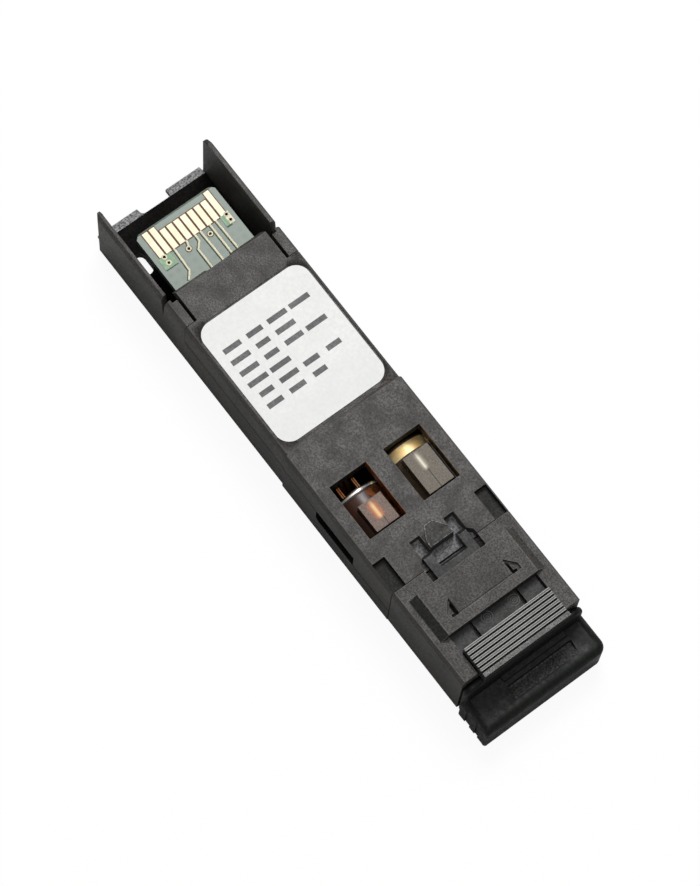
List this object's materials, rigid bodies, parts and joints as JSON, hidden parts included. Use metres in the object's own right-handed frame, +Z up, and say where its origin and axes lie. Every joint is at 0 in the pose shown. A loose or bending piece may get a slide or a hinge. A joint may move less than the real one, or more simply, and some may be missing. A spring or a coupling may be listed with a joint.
{
  "type": "optical transceiver module",
  "caption": "Small pluggable fibre transceiver: black housing with card-edge contacts at the rear, windowed cover, sliding release latch and a dust plug in its two plug ports.",
  "frame": {"origin": "under the middle of the module with its dust plug fitted, on the flat face it lies on", "axes": "+X runs to the front with the plug ports, +Y across, +Z up to the label side"},
  "size_m": [0.0624, 0.0142, 0.0096],
  "materials": {
    "coated_casting": "zinc casting with a fine matt black coating",
    "nose_moulding": "glass-filled black moulding, fine grain",
    "slider_moulding": "smooth satin black moulding",
    "plug_moulding": "soft glossy black moulding",
    "label_film": "white polyester film with plain grey bars",
    "board_laminate": "green solder mask over glass epoxy",
    "gold_contact": "gold plating over nickel",
    "nickel_plate": "nickel-plated steel",
    "gold_header": "gold-plated steel",
    "lens_glass": "clear polished glass",
    "amber_barrel": "dark amber polyetherimide",
    "sleeve_ceramic": "ground zirconia",
    "chip_epoxy": "black epoxy moulding",
    "capacitor_ceramic": "tan ceramic with tinned ends",
    "inductor_ferrite": "dark grey ferrite"
  },
  "bodies": {
    "housing": {"shell_tray": "coated_casting", "label_side_cover": "coated_casting", "port_nose": "nose_moulding", "label_sheet": "label_film", "circuit_board": "board_laminate", "contacts_label_side": "gold_contact", "contacts_far_side": "gold_contact", "laser_header": "nickel_plate", "laser_cap": "nickel_plate", "laser_lens": "lens_glass", "laser_leads": "gold_contact", "laser_barrel": "amber_barrel", "laser_sleeve": "sleeve_ceramic", "detector_header": "gold_header", "detector_cap": "nickel_plate", "detector_lens": "lens_glass", "detector_leads": "gold_contact", "detector_barrel": "amber_barrel", "detector_sleeve": "sleeve_ceramic", "laser_driver_chip": "chip_epoxy", "receiver_amplifier_chip": "chip_epoxy", "identity_memory_chip": "chip_epoxy", "supply_capacitors": "capacitor_ceramic", "filter_inductors": "inductor_ferrite"},
    "slider": {"release_slider": "slider_moulding"},
    "plug": {"dust_plug": "plug_moulding"}
  },
  "joints": [
    {"name": "release_slide", "type": "slide", "parent": "housing", "child": "slider", "axis": [-1, 0, 0], "range_m": [0, 0.0015]},
    {"name": "plug_pull", "type": "slide", "parent": "housing", "child": "plug", "axis": [1, 0, 0], "range_m": [0, 0.01]}
  ]
}
